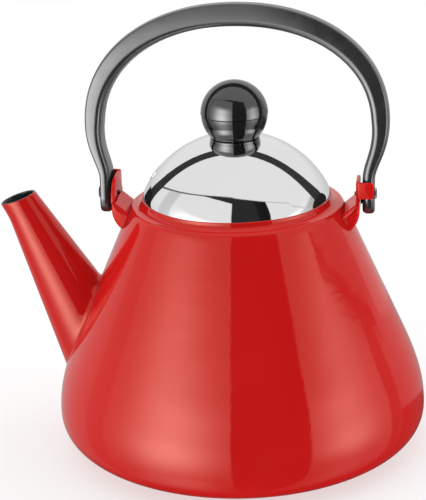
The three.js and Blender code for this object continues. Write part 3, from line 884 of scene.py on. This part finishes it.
# %% Handle
right_side = handle_side()
leg_foot = pivot_height - leg_drop
foot_steps = 16
rings = []
for i in range(1, foot_steps + 1):
    angle = math.pi / 2 * (1 - i / foot_steps)
    height = leg_foot + leg_depth / 2 * (1 - math.sin(angle))
    above = height - leg_foot
    inset = leg_round - math.sqrt(leg_round ** 2 - (leg_round - above) ** 2) if above < leg_round else 0
    section = grip_section(leg_thickness - 2 * inset, max(2.2, leg_depth * math.cos(angle)))
    rings.append([(leg_outer - inset - x, y, height) for x, y in section])
full_line = right_side + [(-x, z) for x, z in right_side[:-1]][::-1]
for i, (x, z) in enumerate(full_line):
    along = heading(full_line, i)
    waist_share = max(0.0, min(1.0, (z - leg_top) / (handle_bend - leg_top)))
    arch_share = max(0.0, min(1.0, (z - handle_bend) / arch_rise))
    thickness = mix(mix(leg_thickness, waist_thickness, waist_share), grip_thickness, arch_share)
    section = grip_section(thickness, mix(leg_depth, grip_depth, waist_share))
    rings.append([(x - along.y * u, v, z + along.x * u) for u, v in section])
for ring in rings[:foot_steps][::-1]:
    rings.append([(-x, y, z) for x, y, z in ring])
bar = swept(rings, capped=True)
handle_lean = math.radians(10)
turned(bar, -handle_lean, "X", Vector((0, 0, pivot_height)) * mm)
finished(bar, "handle_bar", "handle", [handle_black], ["handle_grip"], sharp=60)

# %% [markdown]
# ## The lid
# The dome is the piece that shows the room, so its outline is a true arc with many points. Near the
# edge it bends down into the collar, and that last strip is shaded as if it bent far more slowly. The
# whistle sits behind a small raised pad with a slot in the dome's left side, so the dome is opened
# there and the pad covers the opening.

# %% Dome outline
dome_rise = 31.8
dome_edge = 52.6
dome_foot = 144.7
dome_bore = 2.3
lid_radius = 53.2
dome_top = 184.4
sphere_radius = (dome_rise ** 2 + dome_edge ** 2) / (2 * dome_rise)
sphere_centre = dome_top - sphere_radius
print("dome sphere:", round(sphere_radius, 2), "mm round a point at", round(sphere_centre, 2))


def sphere_arc(growth, start, end, steps):
    """The sphere's outline between two radii, moved out by growth."""
    radius = sphere_radius + growth
    angles = spread(math.asin(start / radius), math.asin(end / radius), steps)
    return [(radius * math.sin(a), sphere_centre + radius * math.cos(a)) for a in angles]


def dome_line(growth):
    """The dome's outline: the sphere, a short bend and the upright edge."""
    outer = lid_radius + growth
    top_line = sphere_arc(growth, dome_bore, dome_edge + growth, 64)
    end = top_line[-1]
    drop = (outer - end[0]) * end[0] / (end[1] - sphere_centre)
    upright_top = end[1] - 2 * drop
    bend = curve([end, (outer, end[1] - drop), (outer, upright_top)], 8)[1:]
    return top_line + bend + straight((outer, upright_top), (outer, dome_foot), 6)[1:]


# %% Dome with its whistle opening and the notch for the nib
dome_wall = 1.0
whistle_angle = math.radians(38.2)
whistle_axis = Vector((-math.cos(whistle_angle), 0, math.sin(whistle_angle)))
whistle_bore = 3.9
nib_direction = Vector((math.cos(nib_angle), math.sin(nib_angle), 0))
notch_half = 1.8
notch_top = 148.6


def in_whistle_hole(point):
    from_centre = point - Vector((0, 0, sphere_centre))
    along = from_centre.dot(whistle_axis)
    return along > 50 and (from_centre - whistle_axis * along).length < whistle_bore


def in_notch(point):
    along = point.dot(nib_direction)
    away = point - nib_direction * along
    return along > 0 and math.hypot(away.x, away.y) < notch_half and point.z < notch_top


dome = spun(dome_line(0) + dome_line(-dome_wall)[::-1], steps=192)
open_hole(dome, in_whistle_hole)
open_hole(dome, in_notch)
dome_mesh = finished(dome, "dome", "lid", [polished_steel], ["lid_dome"]).data

# %% Shading of the dome's edge
turn_per_mm = math.radians(0.9)
edge_tilt = math.acos(dome_edge / sphere_radius)
edge_level = sphere_arc(0, 0, dome_edge, 1)[1][1] + 0.01
edge_normals = []
for vert in dome_mesh.vertices:
    x, y, z = vert.co / mm
    radius = math.hypot(x, y)
    if radius > dome_edge - 0.05 and z < edge_level:
        tilt = edge_tilt - turn_per_mm * (edge_level - z)
        edge_normals.append((x / radius * math.cos(tilt), y / radius * math.cos(tilt), math.sin(tilt)))
    else:
        edge_normals.append((0, 0, 0))
dome_mesh.normals_split_custom_set_from_vertices(edge_normals)
print("shaded softly:", sum(any(normal) for normal in edge_normals), "points")

# %% Pad with the slot, made flat round Z and then turned to its place
pad_count = 48
pad_top = 0.16
pad_foot = -1.2
pad_profile = [
    (3.4, pad_foot), (5.2, -0.7), (5.4, -0.15), (4.9, 0.0), (4.4, 0.09), (3.9, 0.14), (3.4, pad_top),
]
slot_half = 2.25
slot_radius = 0.75
slot_widened = 0.1
circle = arc((0, 0), 1.0, 0, math.tau, pad_count)[:-1]
slot_points = [(math.copysign(slot_half, x) + slot_radius * x, slot_radius * y) for x, y in circle]
pad_rings = []
for radius, height in pad_profile:
    pad_rings.append([(radius * x, radius * y, sphere_radius + height) for x, y in circle])
for height, widen in ((pad_top, slot_widened), (0.06, 0.0), (pad_foot, 0.0)):
    level = sphere_radius + height
    pad_rings.append([(x * (1 + widen / 3), y * (1 + widen), level) for x, y in slot_points])
pad_rings.append(pad_rings[0])
pad = swept(pad_rings, capped=False)
pad_ring_of = pad.verts.layers.int["ring"]
# The slot's walls get the dark steel: painted shade inside the slot.
for face in pad.faces:
    if min(vert[pad_ring_of] for vert in face.verts) >= len(pad_profile):
        face.material_index = 1
turned(pad, whistle_angle - math.pi / 2, "Y")
bmesh.ops.translate(pad, verts=pad.verts, vec=(0, 0, sphere_centre * mm))
finished(pad, "whistle_pad", "lid", [polished_steel, dark_fastener], [], sharp=35)

# %% Skirt and seal under the dome
skirt_bore, skirt_side, rim_side = 47.0, 48.0, 51.9
skirt_foot, rim_top = 134.7, 145.7
skirt_outline = rounded([
    (skirt_bore, skirt_foot, 0.3), (skirt_side, skirt_foot, 0.3), (skirt_side, dome_foot, 0),
    (rim_side, dome_foot, 0.3), (rim_side, rim_top, 0.3), (skirt_bore, rim_top, 0.3),
])
finished(spun(skirt_outline), "skirt", "lid", [plain_steel], ["lid_skirt"])
seal_bore, edge, groove, rib = 48.3, 49.1, 49.0, 49.3
seal_foot, seal_top = 141.0, 144.4
seal_outline = rounded([
    (seal_bore, seal_foot, 0.2), (edge, seal_foot, 0.2), (rib, 141.4, 0.1), (groove, 142.2, 0.2),
    (rib, 142.7, 0.2), (groove, 143.2, 0.2), (rib, 144.0, 0.1), (edge, seal_top, 0.1),
    (seal_bore, seal_top, 0.2),
])
finished(spun(seal_outline), "seal_ring", "lid", [seal_rubber], ["lid_seal"])

# %% [markdown]
# ## The knob
# Two mouldings make the ball: a hemisphere on top and a base that tapers to a narrow foot.
# They meet in a hairline seam, which matters in the picture because it breaks the reflections.

# %% Knob
knob_seam = 196.3
knob_radius = 19.15
seam_gap = 0.25
cap_top = (0, knob_seam + knob_radius)
cap_side = [(knob_radius - 0.3, knob_seam), (knob_radius, knob_seam + seam_gap)]
cap_arc = arc((0, knob_seam), knob_radius, 0, math.pi / 2, 40)[1:-1]
cap_outline = [(0, knob_seam)] + cap_side + cap_arc + [cap_top]
finished(spun(cap_outline, closed=False), "knob_top", "lid", [knob_black], ["knob_cap"])
foot_top = (14.5, 183.9)
washer_pocket = sphere_arc(1.0, 0.0, 12.7, 12)
knob_foot = sphere_arc(0.35, 12.75, 14.0, 3)
foot_round = curve([knob_foot[-1], (14.4, 183.2), foot_top], 4)[1:]
waist = curve([foot_top, (18.7, 189.6), (18.85, knob_seam - 2 * seam_gap)], 28)[1:]
base_top = [(18.7, knob_seam - seam_gap), (0, knob_seam - seam_gap)]
base_outline = washer_pocket + knob_foot + foot_round + waist + base_top
finished(spun(base_outline, closed=False), "knob_lower", "lid", [knob_black], ["knob_base"])

# %% [markdown]
# ## Small pieces that keep their CAD shape
# Bushes, washers, screw, insert and the whistle's cup and discs are hidden or tiny. Their solids are
# right as they are, so they only get their finish.

# %% Finishes of the carried-over nodes
carried = {
    "bush_right": dark_fastener, "bush_left": dark_fastener,
    # The knob's washer takes the same black, painted shade for the gap under the knob.
    "knob_washer": black_spacer, "knob_insert": insert_brass,
    "screw_washer": plain_steel, "knob_screw": plain_steel, "whistle_cup": plain_steel,
    "whistle_inner_disc": plain_steel, "whistle_outer_disc": plain_steel,
}
for node_name, material in carried.items():
    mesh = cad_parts[node_name].data
    mesh.materials.clear()
    mesh.materials.append(material)
print("carried over:", len(carried))

# %% [markdown]
# ## Floor and light
# The floor is plain and pale and keeps the kettle's soft shadow. It glows a little, as a lit table
# does, so it stays white up to the kettle and lights the kettle's belt from below. Light comes from
# everywhere, as in a photographer's white tent. What the metal and the enamel show of that tent
# matters most: a soft lamp behind the left wall and a weaker one behind the right wall, a black
# opening for the camera between them, and the seam where the walls meet the roof. Only glossy rays
# see these. The soft light knows the black opening too, so the kettle's front is a deeper red than
# its sides. Mirrors don't show the floor: the tent's lower half stands for the table in them.

# %% Floor
floor_radius = 3.0
floor_grey = 0.75
glow_for_camera = 0.6
glow_for_kettle = 0.35
floor_bm = bmesh.new()
bmesh.ops.create_circle(floor_bm, cap_ends=True, segments=96, radius=floor_radius)
floor = into_scene("floor", as_mesh(floor_bm, "floor"))
floor.location.z = -0.0002
floor_paint = bpy.data.materials.new("floor_paint")
floor_paint.use_nodes = True
floor_tree = floor_paint.node_tree
floor_shader = floor_tree.nodes["Principled BSDF"]
floor_shader.inputs["Base Color"].default_value = (floor_grey, floor_grey, floor_grey, 1)
floor_shader.inputs["Roughness"].default_value = 1.0
floor_shader.inputs["Specular IOR Level"].default_value = 0.0
floor_glow = floor_tree.nodes.new("ShaderNodeEmission")
floor_rays = floor_tree.nodes.new("ShaderNodeLightPath").outputs
floor_light = floor_rays["Is Diffuse Ray"]
floor_seen = math_node(floor_tree, "MULTIPLY_ADD", floor_rays["Is Camera Ray"], glow_for_camera, floor_light)
floor_power = math_node(floor_tree, "MULTIPLY_ADD", floor_light, glow_for_kettle, 1.0)
floor_tree.links.new(floor_power, floor_glow.inputs["Strength"])
floor_surface = mixed(floor_tree, floor_seen, floor_shader.outputs[0], floor_glow.outputs[0])
floor_tree.links.new(floor_surface, floor_tree.nodes["Material Output"].inputs["Surface"])
floor.data.materials.append(floor_paint)
floor.visible_glossy = False
print("floor radius:", floor_radius)

# %% Tent: direction of a ray as azimuth and elevation, in degrees
# Azimuth 0 points at the viewer, and it grows towards the right.
world = bpy.data.worlds.new("tent")
world.use_nodes = True
bpy.context.scene.world = world
tent = world.node_tree
tent.nodes.clear()
direction = tent.nodes.new("ShaderNodeTexCoord").outputs["Generated"]
split = tent.nodes.new("ShaderNodeSeparateXYZ")
tent.links.new(direction, split.inputs[0])


def tent_math(operation, *values):
    return math_node(tent, operation, *values)


def less(value, taken):
    return tent_math("SUBTRACT", value, taken)


def added(*values):
    total = values[0]
    for value in values[1:]:
        total = tent_math("ADD", total, value)
    return total


def times(*values):
    product = values[0]
    for value in values[1:]:
        product = tent_math("MULTIPLY", product, value)
    return product


azimuth = tent_math("DEGREES", tent_math("ARCTAN2", split.outputs["X"], times(split.outputs["Y"], -1.0)))
elevation = tent_math("DEGREES", tent_math("ARCSINE", split.outputs["Z"]))


# %% Tent: soft shapes
def step(value, low, high, to_low=0.0, to_high=1.0):
    """From one value to another, softly, between two limits."""
    return range_node(tent, value, low, high, to_low, to_high)


def between(value, low, high, soft):
    """1 between two limits, with soft edges."""
    rise = step(value, less(low, soft), added(low, soft))
    return times(rise, step(value, less(high, soft), added(high, soft), 1.0, 0.0))


def bell(value, centre, width):
    """1 at the centre, falling off softly on both sides."""
    away = tent_math("DIVIDE", less(value, centre), width)
    return tent_math("EXPONENT", times(away, away, -1.0))


def lamp_glow(centre, width, power, top, foot, low_share):
    """A soft lamp behind a wall: bright above its foot, with a weaker image on the table below."""
    upright = added(
        times(step(elevation, -86, -38), low_share),
        times(step(elevation, *foot), 1.0 - low_share),
        times(bell(elevation, centre=-6.0, width=8.0), 0.28),
    )
    return times(bell(azimuth, centre, width), upright, step(elevation, *top), power)


left_lamp = lamp_glow(centre=-38.0, width=25.0, power=4.6, top=(31, 14), foot=(-31, -11), low_share=0.34)
right_lamp = lamp_glow(centre=73.0, width=20.0, power=2.6, top=(25, 11), foot=(-25, -9), low_share=0.22)
table_spot = times(bell(azimuth, centre=-68.0, width=24.0), bell(elevation, centre=-57.0, width=13.0))
table_glow = times(table_spot, 0.45)
plain_wall = range_node(tent, elevation, -62, 14, 0.08, 0.84, smooth=False)
print("lamp glows:", left_lamp.node.name, right_lamp.node.name)

# %% Tent: seam, opening and darker upright bands
seam_top = 57.0
off_seam = added(azimuth, 8.0)
seam_arch = less(seam_top, times(off_seam, off_seam, 0.003))
seam_height = less(seam_arch, step(azimuth, 82, 85, 0.0, 3.0))
below_seam = step(less(elevation, seam_height), -0.7, 0.7, 1.0, 0.0)
opening_edge = range_node(tent, elevation, 0, 50, 47.5, 52.5, smooth=False)
opening = times(between(azimuth, -1.0, opening_edge, 0.8), below_seam)
wedge_depth = range_node(tent, azimuth, -58, -1, 0.0, 6.6, smooth=False)
above_wedge = step(added(elevation, wedge_depth), less(seam_height, 0.5), added(seam_height, 0.5))
wedge = times(above_wedge, below_seam, between(azimuth, -58, 0, 0.5))
seam_distance = tent_math("ABSOLUTE", less(elevation, seam_height))
seam_line = step(seam_distance, 0.4, 1.1, 1.0, 0.0)
seam_left = times(seam_line, between(azimuth, -124, 0, 3.0), 0.85)
seam_right = times(seam_line, between(azimuth, 50, 116, 3.0), 0.28)
left_band = times(between(azimuth, -104, -86, 2.5), below_seam, 0.25)
left_low = times(step(azimuth, -140, -112, 1.0, 0.0), step(elevation, -46, -24, 0.75, 0.0))
print("seam at the middle:", seam_top, "degrees up")

# %% Tent: the right rear, where a slanting line parts two panels and a third one stands behind
line_start, line_end = 86, 126
line_level, line_slant = 18.4, 0.4
table_start, table_level, table_slant = 121.0, -11.5, 0.23
line_height = less(line_level, times(less(azimuth, line_start), line_slant))
over_line = less(elevation, line_height)
under = step(over_line, -0.3, 0.3, 1.0, 0.0)
table_height = less(table_level, times(less(azimuth, table_start), table_slant))
on_table = step(less(elevation, table_height), -1.0, 1.0, 1.0, 0.0)
right_gap = times(between(azimuth, 108.5, 120.0, 0.8), under, 0.65)
right_rear = times(step(azimuth, 119, 121), under, step(on_table, 0, 1, 0.25, 0.8))
over_share = times(step(over_line, -0.3, 0.3), step(elevation, 18, 21, 0.42, 0.0))
right_upper = times(between(azimuth, line_start, 133, 1.0), over_share)
right_line = times(between(azimuth, line_start, line_end, 0.5), bell(over_line, centre=0.0, width=1.1), 0.85)
print("line's height at the far right:", line_level - line_slant * (line_end - line_start))

# %% Tent: all of it together
darker = 0.0
for share in (seam_left, seam_right, left_band, left_low, right_gap, right_rear, right_upper, right_line):
    darker = tent_math("MAXIMUM", darker, share)
black = tent_math("MAXIMUM", opening, wedge)
walls = added(plain_wall, left_lamp, right_lamp, table_glow)
bright = times(walls, less(1.0, darker))
black_level = step(azimuth, 32, 38, 0.026, 0.011)
seen = added(times(bright, less(1.0, black)), times(black, black_level))
print("tent nodes:", len(tent.nodes))

# %% Tent: what each kind of ray sees
def background(colour, strength):
    node = tent.nodes.new("ShaderNodeBackground")
    link_value(tent, colour, node.inputs["Color"])
    link_value(tent, strength, node.inputs["Strength"])
    return node.outputs[0]


rays = tent.nodes.new("ShaderNodeLightPath").outputs
white = (1, 1, 1, 1)
direct = tent_math("MAXIMUM", rays["Is Camera Ray"], rays["Is Transmission Ray"])
front_dip = step(bell(azimuth, centre=25.0, width=55.0), 0, 1, 1.45, 0.75)
right_lift = times(bell(azimuth, centre=105.0, width=38.0), 0.55)
soft = times(added(front_dip, right_lift), step(opening, 0, 1, 1.0, 0.1))
lit = mixed(tent, rays["Is Glossy Ray"], background(white, soft), background(white, seen))
surface = mixed(tent, direct, lit, background(white, 1.0))
tent.links.new(surface, tent.nodes.new("ShaderNodeOutputWorld").inputs["Surface"])
print("world:", world.name)

# %% Softbox above
softbox = into_scene("softbox", bpy.data.lights.new("softbox", "AREA"))
softbox.data.shape = "DISK"
softbox.data.size = 1.6
softbox.data.energy = 2.5
softbox.location = (-0.25, -0.25, 1.6)
aimed_at = Vector((0, 0, 0.1))
softbox.rotation_euler = (softbox.location - aimed_at).to_track_quat("Z", "Y").to_euler()
softbox.visible_camera = False
softbox.visible_glossy = False
print("softbox energy:", softbox.data.energy)
